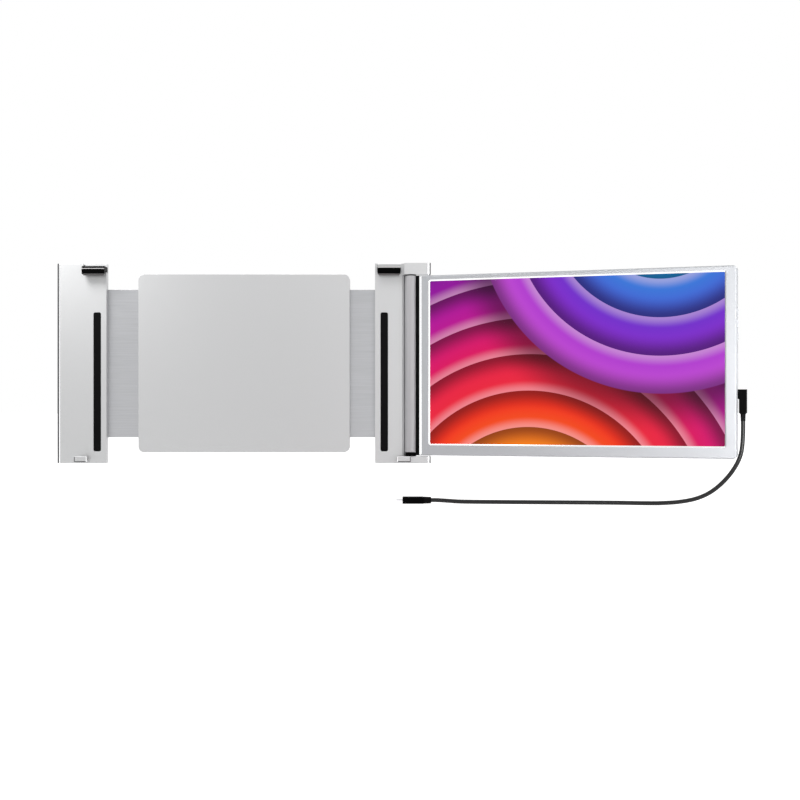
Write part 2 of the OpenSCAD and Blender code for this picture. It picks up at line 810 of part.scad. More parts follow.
module screen_bezel() {
  grow = front_edge_run - front_edge;
  color("silver") in_screen() difference() {
    union() {
      difference() {
        intersection() {
          screen_body([screen_y0, parting_y], 0);
          sloped_window([screen_u0 - front_edge_run - past, screen_u1 + grow],
            [screen_z0 - grow, screen_z1 + grow],
            screen_y0, screen_y0 + front_edge_depth, -front_edge_run);
        }
        translate([0, 0, screen_z0 - past]) linear_extrude(screen_h + 2 * past)
          polygon([[screen_u0 + hinge_edge, screen_y0 - past], [screen_u0 + hinge_edge, screen_y0],
            [screen_u0 - hinge_edge, screen_y0 + 2 * hinge_edge_depth],
            [screen_u0 - hinge_edge, screen_y0 - past]]);
        window_cut([display_u0, display_u1], [display_z0, display_z1],
          screen_y0, glass_y, window_slope);
        slab([display_u0, display_u1], [screen_y0 - past, glass_y + past],
          [display_z0, display_z1], window_r);
        screen_body([glass_y, parting_y + past], screen_wall);
        block([screen_u0 - past, screen_u0 + screen_wall + past],
          [leaf_y[0] - leaf_slot, parting_y + past], [leaf_z0 - leaf_slot, leaf_z1 + leaf_slot]);
      }
      for (p = screen_screws) rod_along_y(p[0], [glass_y, parting_y], p[1], screen_boss_d);
    }
    for (p = screen_screws)
      rod_along_y(p[0], [screw_tip_y, parting_y + past], p[1], screw_d + 2 * seat_fit);
  }
}

module socket_hole(z, w, h, r) {
  translate([screen_u1 - screen_wall - past, socket_y, z]) rotate([0, 90, 0])
    linear_extrude(screen_wall + 2 * past) round_rect(w + hole_gap, h + hole_gap, r);
}

socket_y = (parting_y + shell_floor) / 2 - 0.55;
hole_gap = 0.3;          // the holes are this much larger than the sockets
usb_w = 8.94;
usb_h = 3.2;
usb_r = usb_h / 2 - 0.01;
hdmi_w = 11.2;
hdmi_h = 3.2;
hdmi_r = 0.8;
usb_z = [socket_z, socket_z + socket_pitch];
hdmi_z = socket_z + socket_pitch + video_pitch;
socket_l = 7.2;
socket_sink = 0.3;
socket_u0 = screen_u1 - socket_sink - socket_l;
socket_back = 0.8;
sleeve_t = 0.3;
tongue_w = 6.6;
tongue_t = 0.7;
board_t = 1;
board_l = 76;
board_in = 6;
board_below = 14;
board_above = 9;
board_boss = 4;          // from the board's edges
board_y = [socket_y + usb_h / 2, socket_y + usb_h / 2 + board_t];
board_u = [screen_u1 - board_in - board_l, screen_u1 - board_in];
board_z = [socket_z - board_below, hdmi_z + board_above];
button_w = 8;
button_h = 3;
button_rim = 0.6;
button_in = 3.5;
button_u = [screen_u1 - button_in, screen_u1 + button_proud];
button_flange = [screen_u1 - button_in, screen_u1 - screen_wall - 0.05];
button_board_in = 7.7;
button_board_u = [screen_u1 - button_board_in, screen_u1 - button_board_in + board_t];
switch_w = 3;
switch_gap = 0.1;
switch_u = [button_board_u[1], button_u[0] - button_travel - switch_gap];
buttons = [button_z, button_z + button_pitch, button_z + 2 * button_pitch];

module screen_back_shell() {
  color("silver") in_screen() difference() {
    union() {
      difference() {
        screen_body([parting_y, screen_y1], 0);
        screen_body([parting_y - past, shell_floor], screen_wall);
      }
      for (p = screen_screws) rod_along_y(p[0], [parting_y, shell_floor], p[1], screen_boss_d);
      for (z = leaf_screw_z)
        rod_along_y(leaf_screw_u, [leaf_y[1], shell_floor], z, screen_boss_d);
      for (u = [board_u[0] + board_boss, board_u[1] - 2 * board_boss],
           z = [board_z[0] + board_boss, board_z[1] - board_boss])
        rod_along_y(u, [board_y[1], shell_floor], z, screen_boss_d);
      // ribs that carry the backlight tray
      for (u = rib_u)
        block([u, u + rib_t], [tray_y[1], shell_floor], [screen_z0 + screen_wall, display_z1]);
    }
    // sloped back edges
    for (u = [screen_u0, screen_u1])
      translate([u, screen_y1, 0]) rotate([0, 0, 45])
        cube([back_edge, back_edge, 2 * screen_h], center = true);
    for (z = [screen_z0, screen_z1])
      translate([0, screen_y1, z]) rotate([45, 0, 0])
        cube([4 * screen_h, back_edge, back_edge], center = true);
    for (p = screen_screws) screw_room(p[0], [parting_y - past, screen_y1], p[1]);
    for (z = leaf_screw_z)
      rod_along_y(leaf_screw_u, [leaf_y[1] - past, shell_floor - 0.4], z, screw_d + 2 * seat_fit);
    for (z = usb_z) socket_hole(z, usb_w, usb_h, usb_r + hole_gap / 2);
    socket_hole(hdmi_z, hdmi_w, hdmi_h, hdmi_r + hole_gap / 2);
    for (z = buttons)
      block([screen_u1 - screen_wall - past, screen_u1 + past],
        [socket_y - button_h / 2 - run_gap / 2, socket_y + button_h / 2 + run_gap / 2],
        [z - button_w / 2 - run_gap / 2, z + button_w / 2 + run_gap / 2]);
  }
}

module screen_screw_set() {
  color("dimgray") in_screen()
    for (p = screen_screws) back_screw(p[0], [screw_tip_y, screen_y1], p[1]);
}

guide_y = glass_y + glass_t;
guide_margin = 1.5;
led_h = 2.3;
tray_y = [guide_y + guide_t, guide_y + guide_t + tray_t];
rib_u = [display_u0 + display_w * 0.2, display_u0 + display_w * 0.45];
rib_t = 1.5;
ribbon_w = 24;
ribbon_in = 10;
ribbon_rise = 8;
ribbon_u = [board_u[0] + ribbon_in, board_u[0] + ribbon_in + ribbon_w];
ribbon_z = board_z[0] + ribbon_rise;
ribbon_t = 0.3;
ribbon_end = 2;

module lcd_panel() {
  color("#7a2fb0") in_screen() cell_slab([glass_y, guide_y], cell_margin);
}

module light_guide() {
  color("white") in_screen() difference() {
    cell_slab([guide_y, guide_y + guide_t], guide_margin);
    block([display_u0 - cell_margin, display_u1 + cell_margin],
      [guide_y - past, guide_y + guide_t + past],
      [display_z0 - cell_margin, display_z0 - guide_margin + led_h + 0.2]);
  }
}

module led_strip() {
  color("khaki") in_screen()
    block([display_u0, display_u1], [guide_y, guide_y + guide_t],
      [display_z0 - guide_margin, display_z0 - guide_margin + led_h]);
}

module backlight_tray() {
  color("lightgray") in_screen() cell_slab(tray_y, cell_margin);
}

module driver_board() {
  color("darkgreen") in_screen() block(board_u, board_y, board_z);
}

module display_ribbon() {
  color("orange") in_screen() union() {
    block(ribbon_u, [tray_y[1], board_y[0]], [ribbon_z - ribbon_end, ribbon_z]);
    block(ribbon_u, [tray_y[1], tray_y[1] + ribbon_t], [display_z0, ribbon_z]);
  }
}

// A socket's metal sleeve, open towards the edge of the screen
module sleeve(z, w, h, r) {
  difference() {
    translate([socket_u0, socket_y, z]) rotate([0, 90, 0])
      linear_extrude(socket_l) round_rect(w, h, r);
    translate([socket_u0 + socket_back, socket_y, z]) rotate([0, 90, 0])
      linear_extrude(socket_l) round_rect(w - 2 * sleeve_t, h - 2 * sleeve_t, r - sleeve_t);
  }
}

module usb_sockets() {
  color("gainsboro") in_screen() for (z = usb_z) {
    sleeve(z, usb_w, usb_h, usb_r);
    block([socket_u0 + socket_back, screen_u1 - 2], [socket_y - tongue_t / 2, socket_y + tongue_t / 2],
      [z - tongue_w / 2, z + tongue_w / 2]);
  }
}

module video_socket() {
  color("gainsboro") in_screen() sleeve(hdmi_z, hdmi_w, hdmi_h, hdmi_r);
}

module button_board() {
  color("darkgreen") in_screen() {
    block(button_board_u, [parting_y, shell_floor],
      [buttons[0] - button_w / 2, buttons[2] + button_w / 2]);
    for (z = buttons)
      block(switch_u, [socket_y - switch_w / 2, socket_y + switch_w / 2],
        [z - switch_w / 2, z + switch_w / 2]);
  }
}

module button_cap(z) {
  color("silver") in_screen() union() {
    block(button_u, [socket_y - button_h / 2, socket_y + button_h / 2],
      [z - button_w / 2, z + button_w / 2]);
    block(button_flange, [socket_y - button_h / 2 - button_rim, socket_y + button_h / 2 + button_rim],
      [z - button_w / 2 - button_rim, z + button_w / 2 + button_rim]);
  }
}

// ---- cable and plugs ----

plug_gap = 0.2;
head_l = 8.8;
head_half = 4.8;
leg_w = 7.6;
leg_drop = 19.7;
plug_half = 3.2;
head_u = [screen_u1 + plug_gap, screen_u1 + plug_gap + head_l];
leg_u0 = head_u[1] - leg_w;
leg_z = socket_z - leg_drop;
plug_y = [socket_y - plug_half, socket_y + plug_half];
plug_r = 1.2;
relief_l = 7;
relief_d = 5.2;
leg_edge = 1.7;
relief_rim = 0.4;
cable_u = (leg_u0 + head_u[1]) / 2;
tip_w = 8.25;
tip_h = 2.35;
tip_wall = 0.4;
tip_l = 6.5;
tip_back = 0.3;          // the angled plug's tip stops this far before the socket's back
surface_z = -148.6;
straight_h = 7.4;
straight_w = 12;
straight_r = 2.4;
straight_l = 22;
straight_relief_l = 8;
straight_x = 201;
straight_y = -41;
straight_z = surface_z + straight_h / 2;
straight_end = straight_x - straight_relief_l;

module angled_plug() {
  color("#101010") in_screen() difference() {
    union() {
      bar_z(head_u, plug_y, [socket_z - head_half, socket_z + head_half], plug_r);
      bar_z([leg_u0, head_u[1]], plug_y, [leg_z, socket_z], plug_r);
    }
    for (u = [leg_u0, head_u[1]])
      translate([u, socket_y, leg_z]) rotate([0, 45, 0])
        cube([leg_edge, leg_w + past, leg_edge], center = true);
  }
}

module plug_tip(length) {
  difference() {
    linear_extrude(length) round_rect(tip_w, tip_h, tip_h / 2 - 0.01);
    translate([0, 0, past]) linear_extrude(length)
      round_rect(tip_w - 2 * tip_wall, tip_h - 2 * tip_wall, tip_h / 2 - tip_wall - 0.01);
  }
}

module angled_plug_tip() {
  color("silver") in_screen()
    translate([head_u[0], socket_y, socket_z]) rotate([0, -90, 0])
      plug_tip(head_u[0] - socket_u0 - socket_back - tip_back);
}

module angled_strain_relief() {
  color("#101010") in_screen()
    translate([cable_u, socket_y, leg_z - relief_l])
      cylinder(h = relief_l, d1 = cable_d + relief_rim, d2 = relief_d);
}

module straight_strain_relief() {
  color("#101010") translate([straight_end, straight_y, straight_z]) rotate([0, 90, 0])
    cylinder(h = straight_relief_l, d1 = straight_h, d2 = straight_h - 0.6);
}

module straight_plug() {
  color("#101010") translate([straight_end - straight_l, straight_y, straight_z]) rotate([0, 90, 0])
    linear_extrude(straight_l) round_rect(straight_h, straight_w, straight_r);
}

module straight_plug_tip() {
  color("silver") translate([straight_end - straight_l, straight_y, straight_z]) rotate([0, -90, 0])
    rotate([0, 0, 90]) plug_tip(tip_l);
}

// The cable's route: down from the angled plug, round to the left, and along the surface
route = [
  [510.1, -116.7, -61.2], [510.1, -116.7, -67], [509.9, -116.7, -77], [509.2, -116.5, -87],
  [507.8, -116, -95], [504.6, -114.8, -103.5], [499.5, -112.4, -112.6], [493.4, -108.8, -121],
  [486.4, -104, -128.6], [478, -97.6, -135.4], [467, -89.2, -140.8], [453, -80.5, -144.2],
  [437, -72.6, -145.9], [420, -66.5, -146.4], [400, -61.6, -146.4], [376, -58, -146.4],
  [350, -55.2, -146.4], [324, -53, -146.4], [298, -50.6, -146.4], [272, -48, -146.4],
  [248, -45.2, -146.4], [230, -42.8, -146.2], [216, -41.4, -145.4], [207, -41, -144.9],
  [201, -41, -144.9]];
route_steps = 2;
cable_sides = 10;

function along(a, b, c, d, t) = 0.5 * (2 * b + (c - a) * t
  + (2 * a - 5 * b + 4 * c - d) * t * t + (3 * b - a - 3 * c + d) * t * t * t);
function route_point(i) = i < 0 ? 2 * route[0] - route[1]
  : i >= len(route) ? 2 * route[len(route) - 1] - route[len(route) - 2] : route[i];
cable_line = [
  for (i = [0:len(route) - 2], k = [0:route_steps - 1])
    along(route_point(i - 1), route_point(i), route_point(i + 1), route_point(i + 2), k / route_steps),
  route[len(route) - 1]];
function line_end(i) = max(0, min(len(cable_line) - 1, i));
function unit(v) = v / norm(v);
function heading(i) = i == 0 ? unit(route[1] - route[0])
  : i == len(cable_line) - 1 ? unit(route[len(route) - 1] - route[len(route) - 2])
  : unit(cable_line[line_end(i + 1)] - cable_line[line_end(i - 1)]);
function cable_ring(i) =
  let (t = heading(i), side = unit(cross(t, [0, 1, 0])), rise = cross(side, t))
  [for (k = [0:cable_sides - 1]) let (a = 360 * k / cable_sides)
    cable_line[i] + cable_d / 2 * (cos(a) * side + sin(a) * rise)];

module cable() {
  color("#181818") polyhedron(
    points = [for (i = [0:len(cable_line) - 1]) each cable_ring(i)],
    faces = tube_faces(len(cable_line), cable_sides));
}

// ---- nodes ----

center_front_plate();
center_back_shell();
center_screw_set();  // center_screws
guide_rails();
stop_posts();
brake_pads();
kickstand_panel();
kickstand_foot();
kickstand_pins();
left_wing_shell();
left_wing_cover();
left_edge_trim();
slide_plate(-1);  // left_slide_plate
lid_strip(-1);  // left_lid_strip
left_claw();
left_claw_pad();
wing_screws(-1);  // left_wing_screws
clip_hook(-1);  // left_clip_hook
clip_pad(-1);  // left_clip_pad
clip_springs(-1);  // left_clip_springs
clip_retainers(-1);  // left_clip_retainers
right_wing_shell();
right_wing_cover();
right_edge_trim();
slide_plate(1);  // right_slide_plate
lid_strip(1);  // right_lid_strip
right_claw();
right_claw_pad();
wing_screws(1);  // right_wing_screws
clip_hook(1);  // right_clip_hook
clip_pad(1);  // right_clip_pad
clip_springs(1);  // right_clip_springs
clip_retainers(1);  // right_clip_retainers
hinge_pins();
hinge_washers();
hinge_bar();
hinge_leaf();
hinge_screws();
screen_bezel();
screen_back_shell();
screen_screw_set();  // screen_screws
lcd_panel();
light_guide();
led_strip();
backlight_tray();
driver_board();
display_ribbon();
usb_sockets();
video_socket();
button_board();
button_cap(buttons[2]);  // power_button
button_cap(buttons[1]);  // up_button
button_cap(buttons[0]);  // down_button
cable();
angled_plug();
angled_plug_tip();
angled_strain_relief();
straight_plug();
straight_plug_tip();
straight_strain_relief();
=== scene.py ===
"""Looks of the laptop screen extender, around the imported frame. Metres, +Z up, front towards -Y."""
import json
import math

import bmesh
import bpy
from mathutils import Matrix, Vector


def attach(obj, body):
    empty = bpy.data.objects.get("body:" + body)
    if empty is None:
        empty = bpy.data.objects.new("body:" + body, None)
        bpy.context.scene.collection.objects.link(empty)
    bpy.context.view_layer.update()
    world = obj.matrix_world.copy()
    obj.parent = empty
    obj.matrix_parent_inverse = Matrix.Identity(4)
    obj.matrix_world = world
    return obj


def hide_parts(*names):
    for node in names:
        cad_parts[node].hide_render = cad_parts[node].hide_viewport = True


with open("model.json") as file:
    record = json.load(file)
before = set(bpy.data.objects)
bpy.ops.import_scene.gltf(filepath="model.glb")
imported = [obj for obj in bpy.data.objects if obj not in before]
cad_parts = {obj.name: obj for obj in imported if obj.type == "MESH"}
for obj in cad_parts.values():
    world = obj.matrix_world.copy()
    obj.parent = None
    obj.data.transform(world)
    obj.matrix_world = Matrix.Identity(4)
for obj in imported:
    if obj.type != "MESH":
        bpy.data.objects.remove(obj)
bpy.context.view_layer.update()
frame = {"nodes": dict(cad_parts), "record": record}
NODES = frame["nodes"]
BODY_OF = {node: body for body, names in frame["record"]["behaviour"]["bodies"].items() for node in names}
SLOT_OF = {part["node"]: part["material_slot"] for part in frame["record"]["subparts"]}
scene = bpy.context.scene
MM = 0.001


def in_scene(name, data):
    """A new object of that data."""
    obj = bpy.data.objects.new(name, data)
    scene.collection.objects.link(obj)
    return obj


# ---- camera ----

LENS, SENSOR = 63.0, 36.0       # mm
HORIZON_SHIFT = 0.01125         # in widths of the picture
CAMERA_PLACE = (0.1684, -1.511, -0.04926)
LEVEL = (math.radians(90), 0, 0)
NEAREST, FARTHEST = 0.01, 60.0


def make_camera():
    data = bpy.data.cameras.new("camera")
    data.lens = LENS
    data.sensor_width = SENSOR
    data.shift_y = HORIZON_SHIFT
    data.clip_start = NEAREST
    data.clip_end = FARTHEST
    camera = in_scene("camera", data)
    camera.location = CAMERA_PLACE
    camera.rotation_euler = LEVEL
    scene.camera = camera


# ---- node trees ----

NOISE_RANGE = (0.3, 0.7)    # nearly all of a noise's values lie between these
COAT_ROUGHNESS = 0.1


class Graph:
    """The node tree of a material or of the world."""

    def __init__(self, owner):
        owner.use_nodes = True
        self.nodes = owner.node_tree.nodes
        self.links = owner.node_tree.links

    def add(self, kind, **values):
        """A new node. values: its settings, and what its inputs are set to."""
        node = self.nodes.new(kind)
        for key, value in values.items():
            if hasattr(node, key):
                setattr(node, key, value)
            else:
                node.inputs[key.replace("_", " ")].default_value = value
        return node

    def link(self, out, to):
        self.links.new(out, to)

    def feed(self, value, to):
        """Gives an input a number, a colour or another node's output."""
        if isinstance(value, (int, float, tuple)):
            to.default_value = value
        else:
            self.link(value, to)

    def number(self, operation, *values):
        node = self.add("ShaderNodeMath", operation=operation)
        for value, socket in zip(values, node.inputs):
            self.feed(value, socket)
        return node.outputs[0]

    def remap(self, value, source, target=(0.0, 1.0), kind="LINEAR"):
        """The value, taken from one range to another."""
        node = self.add("ShaderNodeMapRange", interpolation_type=kind, From_Min=source[0],
                        From_Max=source[1], To_Min=target[0], To_Max=target[1])
        self.link(value, node.inputs["Value"])
        return node.outputs["Result"]

    def smooth(self, value, source, target):
        return self.remap(value, source, target, "SMOOTHSTEP")

    def blend(self, share, a, b, mode="MIX"):
        """Colour a, with that share of colour b in it."""
        node = self.add("ShaderNodeMix", data_type="RGBA", blend_type=mode)
        for value, socket in ((share, node.inputs[0]), (a, node.inputs[6]), (b, node.inputs[7])):
            self.feed(value, socket)
        return node.outputs[2]

    def ramp(self, value, stops):
        node = self.add("ShaderNodeValToRGB")
        elements = node.color_ramp.elements
        for element, (place, color) in zip(elements, (stops[0], stops[-1])):
            element.position = place
            element.color = (*color, 1.0)
        for place, color in stops[1:-1]:
            elements.new(place).color = (*color, 1.0)
        self.link(value, node.inputs["Fac"])
        return node.outputs["Color"]


class Finish(Graph):
    """A Principled material whose colour, roughness and bump vary over the surface."""

    def __init__(self, name, color, roughness, metallic=0.0, specular=0.5, coat=0.0):
        self.material = bpy.data.materials.new(name)
        super().__init__(self.material)
        self.shader = self.nodes["Principled BSDF"]
        self.color = color
        self.roughness = roughness
        self.shader.inputs["Base Color"].default_value = (*color, 1.0)
        self.shader.inputs["Roughness"].default_value = roughness
        self.shader.inputs["Metallic"].default_value = metallic
        self.shader.inputs["Specular IOR Level"].default_value = specular
        self.shader.inputs["Coat Weight"].default_value = coat
        self.shader.inputs["Coat Roughness"].default_value = COAT_ROUGHNESS
        self.place = self.add("ShaderNodeTexCoord").outputs["Object"]

    def noise(self, scale, detail=2.0, stretch=(1, 1, 1), turn=0.0):
        """Noise with that many features in a metre, times the stretch along each axis."""
        mapping = self.add("ShaderNodeMapping", Rotation=(0, 0, turn), Scale=stretch)
        self.link(self.place, mapping.inputs["Vector"])
        node = self.add("ShaderNodeTexNoise", Scale=scale, Detail=detail)
        self.link(mapping.outputs["Vector"], node.inputs["Vector"])
        return node.outputs["Fac"]

    def vary_color(self, value, amount):
        """The colour from darker to lighter by that share."""
        low = [c * (1 - amount) for c in self.color]
        high = [min(1.0, c * (1 + amount)) for c in self.color]
        mixed = self.blend(self.remap(value, NOISE_RANGE), (*low, 1.0), (*high, 1.0))
        self.link(mixed, self.shader.inputs["Base Color"])

    def vary_roughness(self, value, amount):
        out = self.remap(value, NOISE_RANGE, (self.roughness - amount, self.roughness + amount))
        self.link(out, self.shader.inputs["Roughness"])

    def bump(self, value, depth, strength):
        node = self.add("ShaderNodeBump", Strength=strength, Distance=depth)
        self.link(value, node.inputs["Height"])
        self.link(node.outputs["Normal"], self.shader.inputs["Normal"])


# ---- kinds of material ----

def satin_metal(name, color, roughness=0.36, metallic=0.3):
    """Bead-blasted and anodised: a fine even grain, with faint clouds in its gloss."""
    finish = Finish(name, color, roughness, metallic)
    finish.vary_color(finish.noise(scale=900, detail=4), amount=0.012)
    finish.vary_roughness(finish.noise(scale=45, detail=3), amount=0.03)
    finish.bump(finish.noise(scale=2600), depth=0.01 * MM, strength=0.5)
    return finish.material


def brushed_metal(name, color, stretch, roughness, metallic):
    """Drawn or ground: lines along the axis that is stretched least, or a grain if there is none."""
    finish = Finish(name, color, roughness, metallic)
    lines = finish.noise(scale=60, detail=4, stretch=stretch)
    finish.vary_color(lines, amount=0.06)
    finish.vary_roughness(lines, amount=0.08)
    finish.bump(lines, depth=0.01 * MM, strength=0.6)
    return finish.material


def plated_metal(name, color):
    finish = Finish(name, color, roughness=0.2, metallic=1.0)
    finish.vary_color(finish.noise(scale=500, detail=3), amount=0.04)
    finish.vary_roughness(finish.noise(scale=220, detail=4), amount=0.05)
    finish.bump(finish.noise(scale=900, detail=3), depth=0.01 * MM, strength=0.4)
    return finish.material


def moulded_plastic(name, color, roughness=0.45, grain=0.02, scale=1800, specular=0.5, clouds=0.06):
    """grain: its depth in mm. scale: grains in a metre. clouds: how far the colour varies."""
    finish = Finish(name, color, roughness, specular=specular)
    finish.vary_color(finish.noise(scale=120, detail=3), clouds)
    finish.vary_roughness(finish.noise(scale=70, detail=3), amount=0.05)
    finish.bump(finish.noise(scale, detail=3), grain * MM, strength=0.6)
    return finish.material


def soft_rubber(name, color):
    finish = Finish(name, color, roughness=0.62, specular=0.05)
    finish.vary_color(finish.noise(scale=400, detail=4), amount=0.12)
    finish.vary_roughness(finish.noise(scale=90, detail=3), amount=0.06)
    finish.bump(finish.noise(scale=3200, detail=3), depth=0.03 * MM, strength=0.6)
    return finish.material


def cable_sheath(name, color):
    """Smooth extruded sheath, with a slight sheen and the faint waviness of its core."""
    finish = Finish(name, color, roughness=0.3, specular=0.35)
    finish.vary_color(finish.noise(scale=300, detail=3), amount=0.1)
    finish.vary_roughness(finish.noise(scale=150, detail=3), amount=0.04)
    finish.bump(finish.noise(scale=120), depth=0.06 * MM, strength=0.5)
    return finish.material


COPPER_TINT = (2.2, 1.9, 2.0)       # how much brighter solder mask looks over copper
COPPER_LINE = (0.0, 0.08)           # from a line's middle to its edge, in cells of the pattern


def circuit_board(name, color):
    """Solder mask over a pattern of copper lines."""
    finish = Finish(name, color, roughness=0.35, coat=0.4)
    cells = finish.add("ShaderNodeTexVoronoi", feature="DISTANCE_TO_EDGE", Scale=420.0, Randomness=0.35)
    finish.link(finish.place, cells.inputs["Vector"])
    between = finish.remap(cells.outputs["Distance"], COPPER_LINE)
    copper = [c * tint for c, tint in zip(color, COPPER_TINT)]
    finish.link(finish.blend(between, (*copper, 1.0), (*color, 1.0)), finish.shader.inputs["Base Color"])
    finish.vary_roughness(finish.noise(scale=300), amount=0.08)
    finish.bump(between, depth=0.02 * MM, strength=0.5)
    return finish.material


RIBBON_STRETCH = (260, 260, 1)      # lines along Z, close together across
RIBBON_TURN = math.radians(19.5)    # as the screen is turned


def striped_film(name, color):
    """Flexible circuit: fine parallel copper lines under amber film."""
    finish = Finish(name, color, roughness=0.3, coat=0.3)
    lines = finish.noise(scale=10, detail=1, stretch=RIBBON_STRETCH, turn=RIBBON_TURN)
    finish.vary_color(lines, amount=0.25)
    finish.vary_roughness(lines, amount=0.06)
    finish.bump(lines, depth=0.01 * MM, strength=0.4)
    return finish.material


# ---- the display's picture: rings of colour around two centres ----

# Lengths are in heights of the display, from its lower left corner. stops: the colours from the
# centre of the rings to their reach.
ASPECT = 16 / 9
WARM = {
    "centre": (0.62, -0.55), "reach": 1.75, "count": 8,
    "stops": [(0.0, (1.0, 0.78, 0.12)), (0.2, (1.0, 0.36, 0.01)), (0.42, (0.93, 0.03, 0.01)),
              (0.62, (0.78, 0.005, 0.09)), (0.8, (0.44, 0.005, 0.34)), (1.0, (0.14, 0.004, 0.34))]}
COOL = {
    "centre": (1.42, 1.42), "reach": 1.12, "count": 5,
    "stops": [(0.0, (0.22, 0.80, 1.0)), (0.3, (0.004, 0.36, 0.82)), (0.55, (0.08, 0.03, 0.62)),
              (0.78, (0.36, 0.02, 0.62)), (1.0, (0.80, 0.14, 0.74))]}

# A pair of places and the share of a colour at them. Across one ring, a place is 0 at its inner
# edge and 1 at its outer one.
LIT = ((0.0, 0.3), (0.3, 0.0))
LIT_COLOR = (1.0, 0.72, 0.8, 1.0)
SHADED = ((0.45, 1.0), (0.0, 0.7))
SHADED_COLOR = (0.05, 0.0, 0.05, 1.0)
RING_CHANGE = 0.55      # how far a ring's colour goes towards the next one's

# The cool rings cover the warm ones and throw a soft shadow on them. Places in the cool reach.
COVER = ((0.994, 1.0), (1.0, 0.0))
SHADOW = ((1.0, 1.22), (0.75, 0.0))
SHADOW_COLOR = (0.10, 0.0, 0.12, 1.0)
DISPLAY_GLOW = 0.95


def rings(picture, place, centre, reach, count, stops):
    """Colour of shaded rings around a centre, and how far out a place is."""
    away = picture.add("ShaderNodeVectorMath", operation="DISTANCE")
    picture.link(place, away.inputs[0])
    away.inputs[1].default_value = (*centre, 0.0)
    out = picture.number("DIVIDE", away.outputs["Value"], reach)
    step = picture.number("MULTIPLY", out, count)
    part = picture.number("FRACT", step)
    ring = picture.number("DIVIDE", picture.number("FLOOR", step), count)
    change = picture.number("MULTIPLY", part, RING_CHANGE / count)
    color = picture.ramp(picture.number("ADD", ring, change), stops)
    color = picture.blend(picture.smooth(part, *LIT), color, LIT_COLOR)
    color = picture.blend(picture.smooth(part, *SHADED), color, SHADED_COLOR, "MULTIPLY")
    return color, out


def display_picture(name, color):
    """The picture glows on the display's UV map. color: of the dark glass."""
    picture = Finish(name, color, roughness=0.2, specular=0.08)
    wide = picture.add("ShaderNodeVectorMath", operation="MULTIPLY")
    picture.link(picture.add("ShaderNodeTexCoord").outputs["UV"], wide.inputs[0])
    wide.inputs[1].default_value = (ASPECT, 1.0, 0.0)
    warm, _ = rings(picture, wide.outputs["Vector"], **WARM)
    cool, out = rings(picture, wide.outputs["Vector"], **COOL)
    warm = picture.blend(picture.smooth(out, *SHADOW), warm, SHADOW_COLOR, "MULTIPLY")
    both = picture.blend(picture.smooth(out, *COVER), warm, cool)
    picture.link(both, picture.shader.inputs["Emission Color"])
    picture.shader.inputs["Emission Strength"].default_value = DISPLAY_GLOW
    picture.vary_roughness(picture.noise(scale=300), amount=0.01)
    return picture.material


# ---- materials ----

CLIP_GRAIN = {"grain": 0.004, "scale": 900}

# name: its kind, its colour and what else that kind takes
MATERIALS = {
    "silver_aluminium": (satin_metal, (0.74, 0.745, 0.75), {}),
    "silver_bezel": (satin_metal, (0.55, 0.563, 0.587), {"roughness": 0.33}),
    # polished metal used as a painted highlight on chosen sloped edges and rims
    "bright_edge": (satin_metal, (0.93, 0.935, 0.94), {"roughness": 0.18, "metallic": 1.0}),
    # painted shade: darker silver on the window's edge at the free end and on the floor behind the hinge
    # bar
    "shaded_edge": (satin_metal, (0.36, 0.36, 0.37), {"roughness": 0.42, "metallic": 0.2}),
    "slide_aluminium": (brushed_metal, (0.46, 0.465, 0.48),
                        {"stretch": (0.4, 16, 16), "roughness": 0.38, "metallic": 0.8}),
    "hinge_grey": (brushed_metal, (0.52, 0.515, 0.53),
                   {"stretch": (16, 16, 0.4), "roughness": 0.5, "metallic": 0.3}),
    "steel": (brushed_metal, (0.5, 0.5, 0.52),
              {"stretch": (12, 12, 12), "roughness": 0.34, "metallic": 1.0}),
    "bright_steel": (plated_metal, (0.75, 0.75, 0.77), {}),
    "silver_plastic": (moulded_plastic, (0.68, 0.685, 0.695),
                       {"grain": 0.03, "scale": 1500, "clouds": 0.008}),
    "dark_trim": (moulded_plastic, (0.13, 0.13, 0.134), {"specular": 0.15}),
    "leaf_black": (moulded_plastic, (0.003, 0.003, 0.0032), {"roughness": 0.5, "specular": 0.04}),
    "clip_black": (moulded_plastic, (0.0015, 0.0015, 0.0016),
                   {"roughness": 0.35, "specular": 0.02, **CLIP_GRAIN}),
    # painted highlight: grey on the clips' lower slopes
    "clip_edge": (moulded_plastic, (0.20, 0.19, 0.19),
                  {"roughness": 0.34, "specular": 0.2, **CLIP_GRAIN}),
    # painted highlight: a light line on the left clip's front and the right clip's upper slope
    "clip_line": (moulded_plastic, (0.62, 0.61, 0.61),
                  {"roughness": 0.3, "specular": 0.3, **CLIP_GRAIN}),
    "black_plastic": (moulded_plastic, (0.0025, 0.0025, 0.0026), {"roughness": 0.42, "specular": 0.02}),
    "acrylic": (moulded_plastic, (0.82, 0.85, 0.87), {"roughness": 0.12, "grain": 0.003, "scale": 700}),
    "white_plastic": (moulded_plastic, (0.80, 0.79, 0.72), {"roughness": 0.5}),
    "black_rubber": (soft_rubber, (0.006, 0.006, 0.0063), {}),
    "cable_black": (cable_sheath, (0.004, 0.004, 0.0042), {}),
    "green_board": (circuit_board, (0.012, 0.11, 0.04), {}),
    "amber_film": (striped_film, (0.55, 0.25, 0.04), {}),
    "display": (display_picture, (0.003, 0.003, 0.0032), {}),
}


def make_materials():
    return {name: make(name, color, **more) for name, (make, color, more) in MATERIALS.items()}


# ---- ways that faces look ----

FRONT, LEFT, RIGHT = Vector((0, -1, 0)), Vector((-1, 0, 0)), Vector((1, 0, 0))
UP, DOWN = Vector((0, 0, 1)), Vector((0, 0, -1))
NEAR_WAY = math.radians(8)


